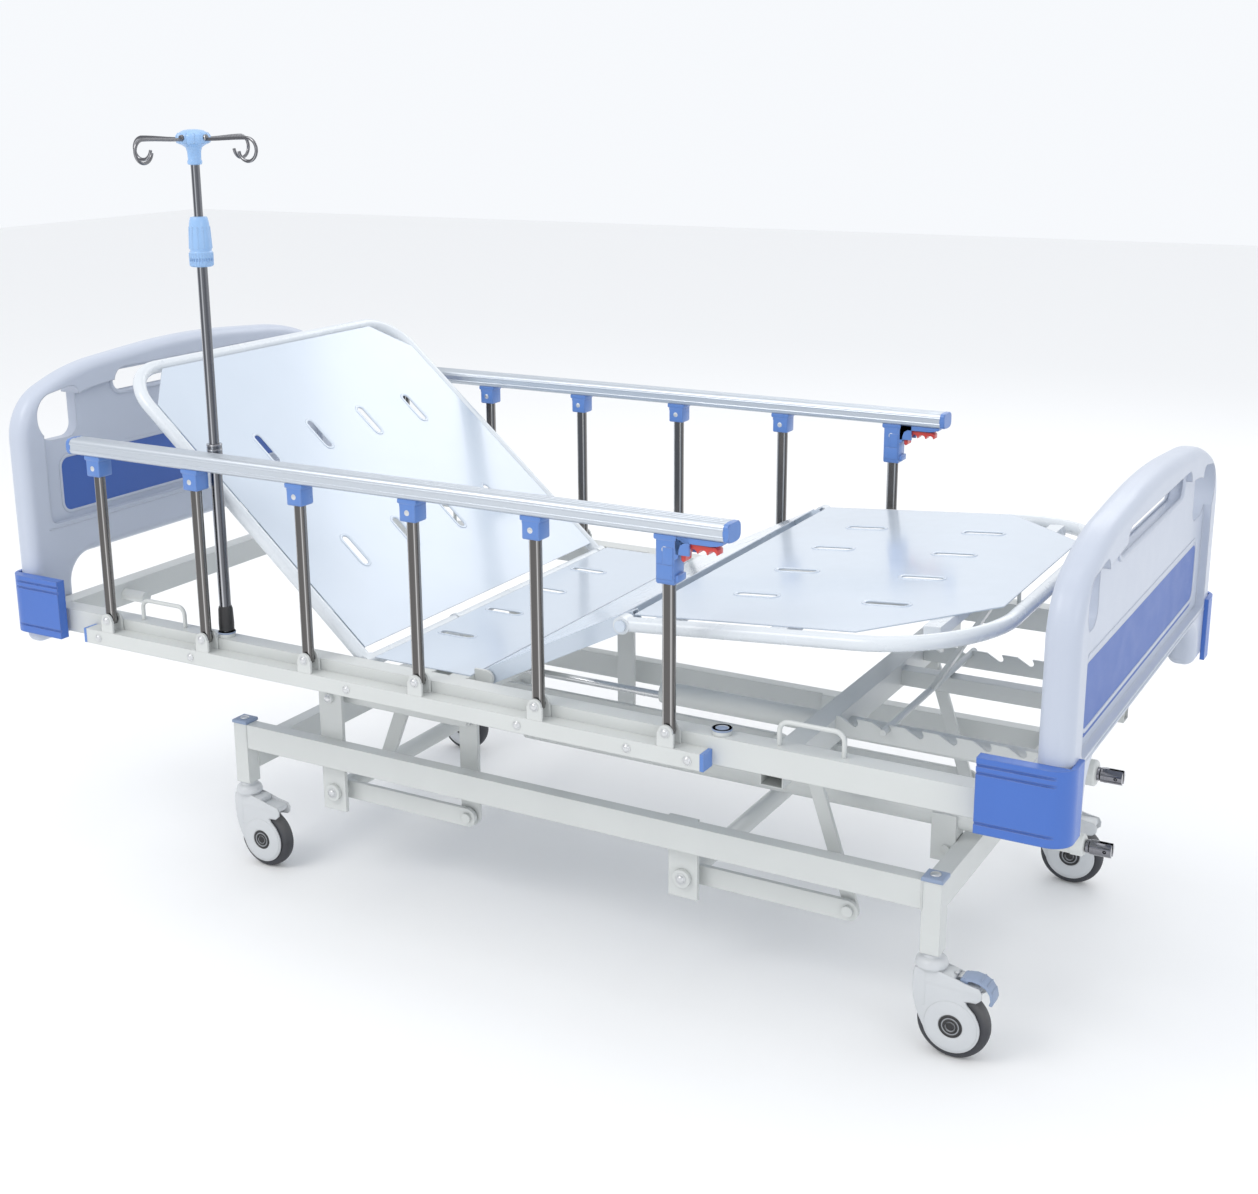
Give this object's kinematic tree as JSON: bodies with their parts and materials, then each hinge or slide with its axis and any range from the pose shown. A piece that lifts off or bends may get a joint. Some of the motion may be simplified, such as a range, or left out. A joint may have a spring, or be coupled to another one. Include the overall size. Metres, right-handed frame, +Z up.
{
  "type": "adjustable hospital bed",
  "caption": "Crank-adjusted care bed on casters: lifting base, raised back and knee sections, folding side rails, moulded end boards and a drip pole",
  "frame": {"origin": "on the floor under the middle of the bounding box, pose as stored", "axes": "+X towards the foot end, +Y towards the far side, +Z up"},
  "size_m": [2.136, 1.114, 1.45],
  "materials": {
    "frame_paint": "cream-white powder coat, slightly textured",
    "deck_paint": "glossy pale blue-white enamel",
    "loop_paint": "white powder coat",
    "board_abs": "pale grey-white blow-moulded ABS, satin",
    "panel_blue": "satin mid-blue sheet",
    "bumper_blue": "soft satin blue",
    "fitting_blue": "moulded blue nylon",
    "cap_grey_blue": "moulded grey-blue",
    "post_steel": "polished stainless tube",
    "pole_steel": "bright stainless tube",
    "rail_alu": "satin anodised extrusion",
    "trigger_red": "moulded red",
    "hub_blue": "moulded light blue",
    "housing_white": "moulded off-white",
    "tyre": "dark grey tyre",
    "zinc": "bright zinc plate"
  },
  "bodies": {
    "base": {"base_frame": "frame_paint", "base_fittings": "cap_grey_blue", "lift_crank_tube": "frame_paint"},
    "head_arms": {"lift_arms_head": "frame_paint"},
    "foot_arms": {"lift_arms_foot": "frame_paint"},
    "foot_link": {"foot_links": "frame_paint"},
    "tie_bar": {"tie_bars": "frame_paint"},
    "coupling_rod": {"lift_tie_rod": "frame_paint"},
    "lift_rod": {"lift_push_rod": "zinc"},
    "lift_screw": {"lift_crank_screw": "zinc"},
    "bed": {"frame_tubes": "frame_paint", "frame_brackets": "frame_paint", "back_crank_tube": "frame_paint", "racks": "frame_paint", "seat_deck": "deck_paint", "headboard": "board_abs", "footboard": "board_abs", "board_panels": "panel_blue", "bumpers": "bumper_blue", "rail_channels": "frame_paint", "channel_caps": "fitting_blue"},
    "back": {"back_frame": "loop_paint", "back_deck": "deck_paint"},
    "back_rod": {"back_push_rod": "zinc"},
    "back_screw": {"back_crank_screw": "zinc"},
    "thigh": {"thigh_section": "deck_paint"},
    "leg": {"leg_frame": "loop_paint", "leg_deck": "deck_paint"},
    "bail": {"leg_bail": "frame_paint"},
    "pole": {"iv_pole": "pole_steel"},
    "clamp": {"iv_clamp": "hub_blue"},
    "hooks": {"iv_hook_head": "hub_blue"},
    "caster_near_head": {"caster_housing_near_head": "housing_white"},
    "wheel_near_head": {"caster_wheel_near_head": "tyre"},
    "caster_near_foot": {"caster_housing_near_foot": "housing_white"},
    "wheel_near_foot": {"caster_wheel_near_foot": "tyre"},
    "pedal_near_foot": {"brake_pedal_near_foot": "cap_grey_blue"},
    "caster_far_head": {"caster_housing_far_head": "housing_white"},
    "wheel_far_head": {"caster_wheel_far_head": "tyre"},
    "pedal_far_head": {"brake_pedal_far_head": "cap_grey_blue"},
    "caster_far_foot": {"caster_housing_far_foot": "housing_white"},
    "wheel_far_foot": {"caster_wheel_far_foot": "tyre"},
    "body_post_near_1": {"post_near_1": "post_steel"},
    "body_post_near_2": {"post_near_2": "post_steel"},
    "body_post_near_3": {"post_near_3": "post_steel"},
    "body_post_near_4": {"post_near_4": "post_steel"},
    "body_post_near_5": {"post_near_5": "post_steel"},
    "body_post_near_6": {"post_near_6": "post_steel"},
    "hand_rail_near": {"top_rail_near": "rail_alu", "rail_fittings_near": "fitting_blue"},
    "latch_near": {"trigger_near": "trigger_red"},
    "body_post_far_1": {"post_far_1": "post_steel"},
    "body_post_far_2": {"post_far_2": "post_steel"},
    "body_post_far_3": {"post_far_3": "post_steel"},
    "body_post_far_4": {"post_far_4": "post_steel"},
    "body_post_far_5": {"post_far_5": "post_steel"},
    "body_post_far_6": {"post_far_6": "post_steel"},
    "hand_rail_far": {"top_rail_far": "rail_alu", "rail_fittings_far": "fitting_blue"},
    "latch_far": {"trigger_far": "trigger_red"}
  },
  "joints": [
    {"name": "lift", "type": "hinge", "parent": "base", "child": "head_arms", "pos_m": [-0.387, 0.0455, 0.188], "axis": [0, -1, 0], "range_deg": [0, 43]},
    {"name": "bed_level", "type": "hinge", "parent": "head_arms", "child": "bed", "pos_m": [-0.092, 0.0455, 0.188], "axis": [0, -1, 0], "range_deg": [-43, 0]},
    {"name": "foot_arm", "type": "hinge", "parent": "base", "child": "foot_arms", "pos_m": [0.376, 0.0455, 0.188], "axis": [0, -1, 0], "range_deg": [0, 43]},
    {"name": "foot_link_turn", "type": "hinge", "parent": "foot_arms", "child": "foot_link", "pos_m": [0.671, 0.0455, 0.188], "axis": [0, -1, 0], "range_deg": [-43, 0]},
    {"name": "tie_bar_turn", "type": "hinge", "parent": "base", "child": "tie_bar", "pos_m": [-0.387, 0.0455, 0.383], "axis": [0, -1, 0], "range_deg": [0, 43]},
    {"name": "coupling_turn", "type": "hinge", "parent": "head_arms", "child": "coupling_rod", "pos_m": [-0.387, 0.0455, 0.298], "axis": [0, -1, 0], "range_deg": [-43, 0]},
    {"name": "lift_rod_turn", "type": "hinge", "parent": "head_arms", "child": "lift_rod", "pos_m": [-0.33203, 0.0455, 0.32756], "axis": [0, -1, 0], "range_deg": [-43, 0]},
    {"name": "lift_crank", "type": "hinge", "parent": "base", "child": "lift_screw", "pos_m": [0.116, -0.1445, 0.33278], "axis": [1, 0, 0], "continuous": true},
    {"name": "back_tilt", "type": "hinge", "parent": "bed", "child": "back", "pos_m": [-0.229, 0.0455, 0.505], "axis": [0, 1, 0], "range_deg": [-38.8, 34]},
    {"name": "back_rod_turn", "type": "hinge", "parent": "back", "child": "back_rod", "pos_m": [-0.23327, 0.0455, 0.43513], "axis": [0, 1, 0], "range_deg": [-34, 38.8]},
    {"name": "back_crank", "type": "hinge", "parent": "bed", "child": "back_screw", "pos_m": [0.116, -0.1045, 0.44223], "axis": [1, 0, 0], "continuous": true},
    {"name": "thigh_tilt", "type": "hinge", "parent": "bed", "child": "thigh", "pos_m": [0.024, 0.0455, 0.515], "axis": [0, -1, 0], "range_deg": [0, 10]},
    {"name": "knee", "type": "hinge", "parent": "thigh", "child": "leg", "pos_m": [0.30658, 0.0455, 0.66085], "axis": [0, -1, 0], "range_deg": [-10, 0]},
    {"name": "prop_swing", "type": "hinge", "parent": "leg", "child": "bail", "pos_m": [0.80676, 0.0455, 0.67815], "axis": [0, 1, 0], "range_deg": [0, 50]},
    {"name": "pole_lift", "type": "slide", "parent": "bed", "child": "pole", "axis": [0, 0, 1], "range_m": [0, 0.06]},
    {"name": "pole_extend", "type": "slide", "parent": "pole", "child": "hooks", "axis": [0, 0, 1], "range_m": [-0.08, 0.09]},
    {"name": "clamp_turn", "type": "hinge", "parent": "pole", "child": "clamp", "pos_m": [-0.534, -0.4105, 1.212], "axis": [0, 0, 1], "range_deg": [0, 90]},
    {"name": "swivel_near_head", "type": "hinge", "parent": "base", "child": "caster_near_head", "pos_m": [-0.5975, -0.3085, 0.16], "axis": [0, 0, 1], "continuous": true},
    {"name": "roll_near_head", "type": "hinge", "parent": "caster_near_head", "child": "wheel_near_head", "pos_m": [-0.5565, -0.3085, 0.06], "axis": [0, 1, 0], "continuous": true},
    {"name": "swivel_near_foot", "type": "hinge", "parent": "base", "child": "caster_near_foot", "pos_m": [0.8295, -0.3085, 0.16], "axis": [0, 0, 1], "continuous": true},
    {"name": "roll_near_foot", "type": "hinge", "parent": "caster_near_foot", "child": "wheel_near_foot", "pos_m": [0.8705, -0.3085, 0.06], "axis": [0, 1, 0], "continuous": true},
    {"name": "brake_near_foot", "type": "hinge", "parent": "caster_near_foot", "child": "pedal_near_foot", "pos_m": [0.8875, -0.3085, 0.138], "axis": [0, 1, 0], "range_deg": [0, 12]},
    {"name": "swivel_far_head", "type": "hinge", "parent": "base", "child": "caster_far_head", "pos_m": [-0.5975, 0.3995, 0.16], "axis": [0, 0, 1], "continuous": true},
    {"name": "roll_far_head", "type": "hinge", "parent": "caster_far_head", "child": "wheel_far_head", "pos_m": [-0.5565, 0.3995, 0.06], "axis": [0, 1, 0], "continuous": true},
    {"name": "brake_far_head", "type": "hinge", "parent": "caster_far_head", "child": "pedal_far_head", "pos_m": [-0.5395, 0.3995, 0.138], "axis": [0, 1, 0], "range_deg": [0, 12]},
    {"name": "swivel_far_foot", "type": "hinge", "parent": "base", "child": "caster_far_foot", "pos_m": [0.8295, 0.3995, 0.16], "axis": [0, 0, 1], "continuous": true},
    {"name": "roll_far_foot", "type": "hinge", "parent": "caster_far_foot", "child": "wheel_far_foot", "pos_m": [0.8705, 0.3995, 0.06], "axis": [0, 1, 0], "continuous": true},
    {"name": "rail_fold_near", "type": "hinge", "parent": "bed", "child": "body_post_near_1", "pos_m": [0.426, -0.4455, 0.521], "axis": [0, 1, 0], "range_deg": [0, 80]},
    {"name": "turn_post_near_2", "type": "hinge", "parent": "bed", "child": "body_post_near_2", "pos_m": [0.181, -0.4455, 0.521], "axis": [0, 1, 0], "range_deg": [0, 80]},
    {"name": "turn_post_near_3", "type": "hinge", "parent": "bed", "child": "body_post_near_3", "pos_m": [-0.064, -0.4455, 0.521], "axis": [0, 1, 0], "range_deg": [0, 80]},
    {"name": "turn_post_near_4", "type": "hinge", "parent": "bed", "child": "body_post_near_4", "pos_m": [-0.309, -0.4455, 0.521], "axis": [0, 1, 0], "range_deg": [0, 80]},
    {"name": "turn_post_near_5", "type": "hinge", "parent": "bed", "child": "body_post_near_5", "pos_m": [-0.554, -0.4455, 0.521], "axis": [0, 1, 0], "range_deg": [0, 80]},
    {"name": "turn_post_near_6", "type": "hinge", "parent": "bed", "child": "body_post_near_6", "pos_m": [-0.799, -0.4455, 0.521], "axis": [0, 1, 0], "range_deg": [0, 80]},
    {"name": "rail_level_near", "type": "hinge", "parent": "body_post_near_1", "child": "hand_rail_near", "pos_m": [0.426, -0.4455, 0.824], "axis": [0, 1, 0], "range_deg": [-80, 0]},
    {"name": "trigger_near", "type": "hinge", "parent": "hand_rail_near", "child": "latch_near", "pos_m": [0.456, -0.4455, 0.832], "axis": [0, -1, 0], "range_deg": [0, 8], "stiffness_Nm_per_rad": 0.25, "springref_deg": -17.19},
    {"name": "rail_fold_far", "type": "hinge", "parent": "bed", "child": "body_post_far_1", "pos_m": [0.426, 0.5365, 0.521], "axis": [0, 1, 0], "range_deg": [0, 80]},
    {"name": "turn_post_far_2", "type": "hinge", "parent": "bed", "child": "body_post_far_2", "pos_m": [0.181, 0.5365, 0.521], "axis": [0, 1, 0], "range_deg": [0, 80]},
    {"name": "turn_post_far_3", "type": "hinge", "parent": "bed", "child": "body_post_far_3", "pos_m": [-0.064, 0.5365, 0.521], "axis": [0, 1, 0], "range_deg": [0, 80]},
    {"name": "turn_post_far_4", "type": "hinge", "parent": "bed", "child": "body_post_far_4", "pos_m": [-0.309, 0.5365, 0.521], "axis": [0, 1, 0], "range_deg": [0, 80]},
    {"name": "turn_post_far_5", "type": "hinge", "parent": "bed", "child": "body_post_far_5", "pos_m": [-0.554, 0.5365, 0.521], "axis": [0, 1, 0], "range_deg": [0, 80]},
    {"name": "turn_post_far_6", "type": "hinge", "parent": "bed", "child": "body_post_far_6", "pos_m": [-0.799, 0.5365, 0.521], "axis": [0, 1, 0], "range_deg": [0, 80]},
    {"name": "rail_level_far", "type": "hinge", "parent": "body_post_far_1", "child": "hand_rail_far", "pos_m": [0.426, 0.5365, 0.824], "axis": [0, 1, 0], "range_deg": [-80, 0]},
    {"name": "trigger_far", "type": "hinge", "parent": "hand_rail_far", "child": "latch_far", "pos_m": [0.456, 0.5365, 0.832], "axis": [0, -1, 0], "range_deg": [0, 8], "stiffness_Nm_per_rad": 0.25, "springref_deg": -17.19}
  ],
  "couplings": [
    {"joint": "bed_level", "follows": "lift", "ratio": -1},
    {"joint": "foot_arm", "follows": "lift", "ratio": 1},
    {"joint": "foot_link_turn", "follows": "lift", "ratio": -1},
    {"joint": "tie_bar_turn", "follows": "lift", "ratio": 1},
    {"joint": "coupling_turn", "follows": "lift", "ratio": -1},
    {"joint": "lift_rod_turn", "follows": "lift", "ratio": -1},
    {"joint": "back_rod_turn", "follows": "back_tilt", "ratio": -1},
    {"joint": "knee", "follows": "thigh_tilt", "ratio": -1},
    {"joint": "turn_post_near_2", "follows": "rail_fold_near", "ratio": 1},
    {"joint": "turn_post_near_3", "follows": "rail_fold_near", "ratio": 1},
    {"joint": "turn_post_near_4", "follows": "rail_fold_near", "ratio": 1},
    {"joint": "turn_post_near_5", "follows": "rail_fold_near", "ratio": 1},
    {"joint": "turn_post_near_6", "follows": "rail_fold_near", "ratio": 1},
    {"joint": "rail_level_near", "follows": "rail_fold_near", "ratio": -1},
    {"joint": "turn_post_far_2", "follows": "rail_fold_far", "ratio": 1},
    {"joint": "turn_post_far_3", "follows": "rail_fold_far", "ratio": 1},
    {"joint": "turn_post_far_4", "follows": "rail_fold_far", "ratio": 1},
    {"joint": "turn_post_far_5", "follows": "rail_fold_far", "ratio": 1},
    {"joint": "turn_post_far_6", "follows": "rail_fold_far", "ratio": 1},
    {"joint": "rail_level_far", "follows": "rail_fold_far", "ratio": -1}
  ]
}
